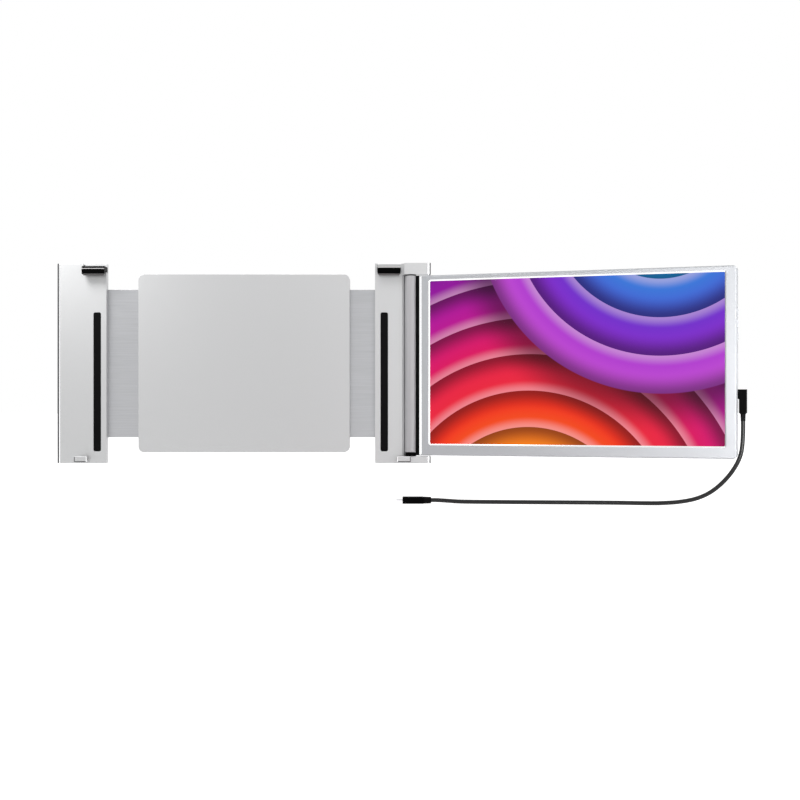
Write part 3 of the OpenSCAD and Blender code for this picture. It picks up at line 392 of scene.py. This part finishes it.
def screen_ways():
    """The way the display looks, and the way along it from the hinge to its free end."""
    widest = max(NODES["lcd_panel"].data.polygons, key=lambda face: face.area)
    front = widest.normal.copy()
    if front.y > 0:
        front.negate()
    return front, UP.cross(front)


SCREEN_FRONT, ALONG = screen_ways()


def slope(front, side, degrees):
    """The way a face looks that is turned that far from the front to a side."""
    turn = math.radians(degrees)
    return front * math.cos(turn) + side * math.sin(turn)


def looks(face, way):
    return face.normal.angle(way, math.pi) < NEAR_WAY


def joins(edge, one, other):
    """True for an edge between a face that looks one way and a face that looks the other way."""
    faces = edge.link_faces
    return len(faces) == 2 and (looks(faces[0], one) and looks(faces[1], other)
                                or looks(faces[1], one) and looks(faces[0], other))


# ---- finished copies of CAD nodes ----

# Slot 1 carries a painted highlight and slot 2 painted shade.
BODY, HIGHLIGHT_SLOT, SHADE_SLOT = 0, 1, 2        # slot numbers of a piece with bright and dark edges
SAME_POINT = 1e-6
SAME_PLANE = 1e-5
CUT_REACH = 1e-7                    # a cut takes a vertex this near as lying on it
SAME_WAY = 0.9999                   # cosine between the normals of one flat
BACKWARDS = 0.5                     # least Y of a normal that looks backwards
ONE_FACE = math.radians(0.5)        # faces that turn less than this are joined
SHARP_FROM = math.radians(35)
ROUNDED_FROM = math.radians(50)
ROUND_STEPS = 3
RIM_STEPS = 2
RIM_PROFILE = 0.5                   # round


def paint(obj, *materials):
    obj.data.materials.clear()
    for material in materials:
        obj.data.materials.append(material)


def smooth_shading(mesh):
    mesh.shade_smooth()
    mesh.set_sharp_from_angle(angle=SHARP_FROM)


def stand_for(obj, node):
    """obj takes the place of that CAD node, on the same body."""
    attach(obj, BODY_OF[node])
    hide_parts(node)


def round_outline(bm):
    """Marks the edges around the largest flat of the back, as the only ones to be rounded."""
    weight = bm.edges.layers.float.new("bevel_weight_edge")
    backs = [face for face in bm.faces if face.normal.y > BACKWARDS]
    largest = max(backs, key=lambda face: face.calc_area())
    way, place = largest.normal.copy(), largest.verts[0].co.copy()
    for face in backs:
        if face.normal.dot(way) > SAME_WAY and abs((face.verts[0].co - place).dot(way)) < SAME_PLANE:
            for edge in face.edges:
                edge[weight] = 1.0 if edge.calc_face_angle(0.0) > ROUNDED_FROM else 0.0


def dress(node, slots, width, slot_of=None, rims=(), shape=None):
    """A copy of a CAD node with rounded edges of that width. slots: its materials, the first for
    the whole. slot_of: gives a face's slot number. rims: (way, way, width, slot number), for the
    edges that join faces which look those two ways. shape: changes the copy first."""
    mesh = NODES[node].data.copy()
    obj = in_scene(f"{node}_finished", mesh)
    paint(obj, *slots)
    bm = bmesh.new()
    bm.from_mesh(mesh)
    bmesh.ops.remove_doubles(bm, verts=bm.verts, dist=SAME_POINT)
    bmesh.ops.dissolve_limit(bm, angle_limit=ONE_FACE, verts=bm.verts, edges=bm.edges)
    if shape:
        shape(bm)
    for face in bm.faces:
        face.material_index = slot_of(face) if slot_of else BODY
    for one, other, rim, number in rims:
        edges = [edge for edge in bm.edges if joins(edge, one, other)]
        bmesh.ops.bevel(bm, geom=edges, offset=rim, segments=RIM_STEPS, profile=RIM_PROFILE,
                        affect="EDGES", material=number)
    bm.to_mesh(mesh)
    bm.free()
    smooth_shading(mesh)
    rounded = obj.modifiers.new("rounded edges", "BEVEL")
    rounded.width = width
    rounded.segments = ROUND_STEPS
    rounded.limit_method = "WEIGHT" if shape is round_outline else "ANGLE"
    rounded.angle_limit = ROUNDED_FROM
    rounded.use_clamp_overlap = False
    flat = obj.modifiers.new("flat faces", "WEIGHTED_NORMAL")
    flat.keep_sharp = True
    stand_for(obj, node)


# nodes of one material: width in mm of their rounded edges
EDGES = {
    "hinge_bar": 0.2,
    "left_wing_cover": 0.35, "right_wing_cover": 0.35,
    "left_edge_trim": 0.3, "right_edge_trim": 0.3,
    "center_front_plate": 0.3, "center_back_shell": 0.4,
    "kickstand_panel": 0.25, "kickstand_foot": 0.3,
    "left_slide_plate": 0.15, "right_slide_plate": 0.15,
    "left_lid_strip": 0.2, "right_lid_strip": 0.2,
    "screen_back_shell": 0.3, "hinge_leaf": 0.15,
    "power_button": 0.2, "up_button": 0.2, "down_button": 0.2,
    "angled_plug": 0.2, "straight_plug": 0.4,
}
THIN_WALLED = ("center_back_shell", "screen_back_shell")    # only the back's outline is rounded


def dress_plain_nodes(materials):
    for node, width in EDGES.items():
        shape = round_outline if node in THIN_WALLED else None
        dress(node, [materials[SLOT_OF[node]]], width * MM, shape=shape)


BEZEL_EDGE = 0.2 * MM   # width of its rounded edges
WINDOW_SLOPE = 36.9     # degrees from the front, of the edge around the display's window
WINDOW_NEAR = 4         # degrees that a face of that edge may be off
HINGE_SLOPE = 14.9      # degrees from the front, of the bezel's edge beside the hinge
# the window's edge at the free end looks back along the screen by more than this share
FREE_END = 0.4


def bezel_slot(face):
    """The hinge-side slope and the window's edges get a painted highlight, but the window's edge at the
    free end gets painted shade.
    """
    if looks(face, slope(SCREEN_FRONT, -ALONG, HINGE_SLOPE)):
        return HIGHLIGHT_SLOT
    off = math.degrees(face.normal.angle(SCREEN_FRONT, 0.0))
    if abs(off - WINDOW_SLOPE) > WINDOW_NEAR:
        return BODY
    return SHADE_SLOT if face.normal.dot(-ALONG) > FREE_END else HIGHLIGHT_SLOT


def dress_bezel(materials):
    slots = [materials[name] for name in ("silver_bezel", "bright_edge", "shaded_edge")]
    dress("screen_bezel", slots, BEZEL_EDGE, bezel_slot)


WING_EDGE = 0.3 * MM    # width of their rounded edges
TRIM_SLOPE = 20.6       # degrees from the front, of a wing's edge beside its trim
TRIM_REACH = 0.0016     # width of that edge
HINGE_FLOOR = 0.006     # Y of the right wing's floor behind the hinge bar


def slope_ears(bm):
    """The ears' front edges slope back beside the trim, as the left wing's does."""
    end = max(v.co.x for v in bm.verts)
    front = min(v.co.y for v in bm.verts)
    bmesh.ops.bisect_plane(bm, geom=[*bm.verts, *bm.edges, *bm.faces], dist=CUT_REACH,
                           plane_co=(end - TRIM_REACH, 0, 0), plane_no=RIGHT)
    for v in bm.verts:
        if abs(v.co.x - end) < SAME_POINT and abs(v.co.y - front) < SAME_POINT:
            v.co.y += TRIM_REACH * math.tan(math.radians(TRIM_SLOPE))
    bm.normal_update()


# The sloped edge beside the trim gets a painted highlight.
def left_wing_slot(face):
    return HIGHLIGHT_SLOT if looks(face, slope(FRONT, LEFT, TRIM_SLOPE)) else BODY


def right_wing_slot(face):
    """The floor behind the hinge bar gets painted shade; the sloped edge beside the trim gets a painted
    highlight.
    """
    if looks(face, FRONT) and abs(face.calc_center_median().y - HINGE_FLOOR) < SAME_PLANE:
        return SHADE_SLOT
    return HIGHLIGHT_SLOT if looks(face, slope(FRONT, RIGHT, TRIM_SLOPE)) else BODY


def dress_wings(materials):
    slots = [materials[name] for name in ("silver_aluminium", "bright_edge", "shaded_edge")]
    dress("left_wing_shell", slots, WING_EDGE, left_wing_slot)
    dress("right_wing_shell", slots, WING_EDGE, right_wing_slot, shape=slope_ears)


CLIP_EDGE = 0.15 * MM               # width of their rounded edges
CLIP_SLOPE = 45                     # degrees from the front or the sides, of their sloped edges
# Painted highlights: a light line on the left clip's front, the right clip's upper slope and both clips'
# lower slopes.
CLIP_HIGHLIGHT_LINE = (0.00045, 0.0012)       # the left clip's bright line, below its front's upper edge
LOWER_WAYS = [slope(side, DOWN, CLIP_SLOPE) for side in (FRONT, LEFT, RIGHT)]
LOWER_HIGHLIGHT, LINE_HIGHLIGHT = 1, 2                  # slot numbers of a clip's lower slopes and its bright line


def line_heights():
    """Z of the upper and the lower edge of the left clip's painted highlight line."""
    mesh = NODES["left_clip_hook"].data
    fronts = [face for face in mesh.polygons if looks(face, FRONT)]
    top = max(mesh.vertices[i].co.z for face in fronts for i in face.vertices)
    return [top - below for below in CLIP_HIGHLIGHT_LINE]


LINE_HEIGHTS = line_heights()


def part_line(bm):
    """Parts the painted highlight line, under the upper slope, from the rest of the clip's front."""
    for height in LINE_HEIGHTS:
        fronts = [face for face in bm.faces if looks(face, FRONT)]
        around = {item for face in fronts for item in (face, *face.edges, *face.verts)}
        bmesh.ops.bisect_plane(bm, geom=list(around), dist=CUT_REACH,
                               plane_co=(0, 0, height), plane_no=UP)
    bm.normal_update()


# The lower slopes get a painted highlight.
def lower_slot(face):
    return LOWER_HIGHLIGHT if any(looks(face, way) for way in LOWER_WAYS) else BODY


def left_clip_slot(face):
    top = max(v.co.z for v in face.verts)
    if looks(face, FRONT) and abs(top - LINE_HEIGHTS[0]) < SAME_POINT:
        return LINE_HIGHLIGHT
    return lower_slot(face)


def right_clip_slot(face):
    """Its painted highlight is its whole upper slope."""
    return LINE_HIGHLIGHT if looks(face, slope(FRONT, UP, CLIP_SLOPE)) else lower_slot(face)


def dress_clips(materials):
    slots = [materials[name] for name in ("clip_black", "clip_edge", "clip_line")]
    dress("left_clip_hook", slots, CLIP_EDGE, left_clip_slot, shape=part_line)
    dress("right_clip_hook", slots, CLIP_EDGE, right_clip_slot)


CLAW_EDGE = 0.2 * MM    # width of their rounded edges
# Painted highlight on the rims above and towards the middle, painted shade in the dark trim material on
# those below and outwards.
HIGHLIGHT_RIM = 0.7 * MM   # width of the rims above and towards the middle
SHADE_RIM = 0.9 * MM     # width of those below and outwards


# The rims above and towards the middle get a painted highlight, those below and outwards painted shade.
def dress_claws(materials):
    slots = [materials[name] for name in ("silver_aluminium", "bright_edge", "dark_trim")]
    for side, outer, inner in (("left", LEFT, RIGHT), ("right", RIGHT, LEFT)):
        rims = [(FRONT, UP, HIGHLIGHT_RIM, HIGHLIGHT_SLOT), (FRONT, inner, HIGHLIGHT_RIM, HIGHLIGHT_SLOT),
                (FRONT, DOWN, SHADE_RIM, SHADE_SLOT), (FRONT, outer, SHADE_RIM, SHADE_SLOT)]
        dress(f"{side}_claw", slots, CLAW_EDGE, rims=rims)


def paint_nodes(materials):
    """The CAD nodes themselves, of which those with no finished copy stay in the scene."""
    for node, obj in NODES.items():
        paint(obj, materials[SLOT_OF[node]])
        if not obj.hide_render:
            smooth_shading(obj.data)


# ---- display ----

CELL_MARGIN = 0.003     # the panel's glass reaches this far past the lit display


def make_display(materials):
    """The LCD panel with the picture on its front."""
    mesh = NODES["lcd_panel"].data.copy()
    across = [v.co.dot(ALONG) for v in mesh.vertices]
    rise = [v.co.z for v in mesh.vertices]
    left, right = min(across) + CELL_MARGIN, max(across) - CELL_MARGIN
    low, high = min(rise) + CELL_MARGIN, max(rise) - CELL_MARGIN
    uv = mesh.uv_layers[0] if mesh.uv_layers else mesh.uv_layers.new(name="picture")
    for loop in mesh.loops:
        i = loop.vertex_index
        uv.data[loop.index].uv = ((across[i] - left) / (right - left), (rise[i] - low) / (high - low))
    obj = in_scene("display_panel", mesh)
    paint(obj, materials["display"])
    stand_for(obj, "lcd_panel")


# ---- cable ----

# the route in mm, from the angled plug's strain relief to the straight plug's
ROUTE = [
    (510.1, -116.7, -61.2), (510.1, -116.7, -67), (509.9, -116.7, -77), (509.2, -116.5, -87),
    (507.8, -116, -95), (504.6, -114.8, -103.5), (499.5, -112.4, -112.6), (493.4, -108.8, -121),
    (486.4, -104, -128.6), (478, -97.6, -135.4), (467, -89.2, -140.8), (453, -80.5, -144.2),
    (437, -72.6, -145.9), (420, -66.5, -146.4), (400, -61.6, -146.4), (376, -58, -146.4),
    (350, -55.2, -146.4), (324, -53, -146.4), (298, -50.6, -146.4), (272, -48, -146.4),
    (248, -45.2, -146.4), (230, -42.8, -146.2), (216, -41.4, -145.4), (207, -41, -144.9),
    (201, -41, -144.9)]
CABLE_D = 0.0044
CABLE_ROUND_STEPS = 5
ROUTE_STEPS = 6         # from one point of the route to the next


def along_route():
    """The route's points in metres, joined by one smooth curve."""
    points = [Vector(p) * MM for p in ROUTE]
    ends = [2 * points[0] - points[1], *points, 2 * points[-1] - points[-2]]
    line = []
    for a, b, c, d in zip(ends, ends[1:], ends[2:], ends[3:]):
        for step in range(ROUTE_STEPS):
            t = step / ROUTE_STEPS
            line.append(0.5 * (2 * b + (c - a) * t + (2 * a - 5 * b + 4 * c - d) * t ** 2
                               + (3 * b - a - 3 * c + d) * t ** 3))
    return line + [points[-1]]


def make_cable(materials):
    line = along_route()
    data = bpy.data.curves.new("cable_sheath", "CURVE")
    data.dimensions = "3D"
    data.bevel_depth = CABLE_D / 2
    data.bevel_resolution = CABLE_ROUND_STEPS
    data.use_fill_caps = True
    spline = data.splines.new("POLY")
    spline.points.add(len(line) - 1)
    for point, place in zip(spline.points, line):
        point.co = (*place, 1.0)
    obj = in_scene("cable_sheath", data)
    paint(obj, materials["cable_black"])
    stand_for(obj, "cable")


# ---- floor, world and lamps ----

FLOOR_Z = min(z for _, _, z in ROUTE) * MM - CABLE_D / 2     # the cable lies on it
FLOOR_SIZE = 60
FLOOR_COLOR = (0.8, 0.8, 0.8, 1)
GLOW_REACH = (0.3, 1.4)     # distances from the origin: the object's shadow falls within the first
GLOW = (0.86, 1.0)          # the floor's own light at them
WHITE = (1, 1, 1, 1)
WORLD_LIGHT = 0.44


def seen(graph, path):
    """1 for what the camera sees, directly or in a glossy surface, and 0 for other light."""
    return graph.number("MAXIMUM", path.outputs["Is Camera Ray"], path.outputs["Is Glossy Ray"])


def floor_material():
    """A grey matt floor that catches shadows, and glows white where it is seen."""
    material = bpy.data.materials.new("floor_white")
    graph = Graph(material)
    graph.nodes.clear()
    away = graph.add("ShaderNodeVectorMath", operation="LENGTH")
    graph.link(graph.add("ShaderNodeTexCoord").outputs["Object"], away.inputs[0])
    fade = graph.remap(away.outputs["Value"], GLOW_REACH, GLOW)
    strength = graph.number("MULTIPLY", seen(graph, graph.add("ShaderNodeLightPath")), fade)
    glow = graph.add("ShaderNodeEmission")
    graph.link(strength, glow.inputs["Strength"])
    matt = graph.add("ShaderNodeBsdfDiffuse", Color=FLOOR_COLOR)
    both = graph.add("ShaderNodeAddShader")
    graph.link(matt.outputs[0], both.inputs[0])
    graph.link(glow.outputs[0], both.inputs[1])
    graph.link(both.outputs[0], graph.add("ShaderNodeOutputMaterial").inputs["Surface"])
    return material


def make_floor():
    bpy.ops.mesh.primitive_plane_add(size=FLOOR_SIZE, location=(0, 0, FLOOR_Z))
    floor = bpy.context.object
    floor.name = "floor"
    floor.data.materials.append(floor_material())


def make_world():
    """White where it is seen, directly or in metal and glass, and a plain grey light elsewhere."""
    world = bpy.data.worlds.new("studio")
    scene.world = world
    graph = Graph(world)
    graph.nodes.clear()
    path = graph.add("ShaderNodeLightPath")
    clear = graph.number("MAXIMUM", seen(graph, path), path.outputs["Is Transmission Ray"])
    mix = graph.add("ShaderNodeMixShader")
    light = graph.add("ShaderNodeBackground", Color=WHITE, Strength=WORLD_LIGHT)
    white = graph.add("ShaderNodeBackground", Color=WHITE)
    graph.link(clear, mix.inputs[0])
    graph.link(light.outputs[0], mix.inputs[1])
    graph.link(white.outputs[0], mix.inputs[2])
    graph.link(mix.outputs[0], graph.add("ShaderNodeOutputWorld").inputs["Surface"])


# name: place, aim, width and height, spread in degrees, power
LAMPS = {
    "left_key": ((-0.25, -0.12, 0.26), (-0.185, 0, 0.10), (0.10, 0.10), 120, 0.285),
    "ear_key": ((0.05, -0.20, 0.36), (0.16, 0, 0.10), (0.15, 0.15), 90, 0.085),
    "screen_fill": ((0.52, -0.55, 0.0), (0.50, -0.11, 0), (0.3, 0.7), 60, 0.29),
    "screen_low": ((0.50, -0.50, -0.22), (0.46, -0.10, -0.09), (0.3, 0.2), 60, 0.90),
    "screen_near": ((0.60, -0.36, -0.02), (0.50, -0.11, 0), (0.2, 0.4), 90, 0.205),
    "back_fill": ((0.1, 1.7, 1.2), (0.1, 0, 0), (1.2, 1.2), 180, 5),
}


def make_lamps():
    for name, (place, aim, size, spread, power) in LAMPS.items():
        data = bpy.data.lights.new(name, "AREA")
        data.shape = "RECTANGLE"
        data.size, data.size_y = size
        data.spread = math.radians(spread)
        data.energy = power
        lamp = in_scene(name, data)
        lamp.location = place
        lamp.rotation_euler = (Vector(aim) - Vector(place)).to_track_quat("-Z", "Y").to_euler()
        lamp.visible_camera = False


make_camera()
materials = make_materials()
dress_plain_nodes(materials)
dress_bezel(materials)
dress_wings(materials)
dress_clips(materials)
dress_claws(materials)
make_cable(materials)
make_display(materials)
paint_nodes(materials)
make_floor()
make_world()
make_lamps()
scene.view_settings.view_transform = "Standard"
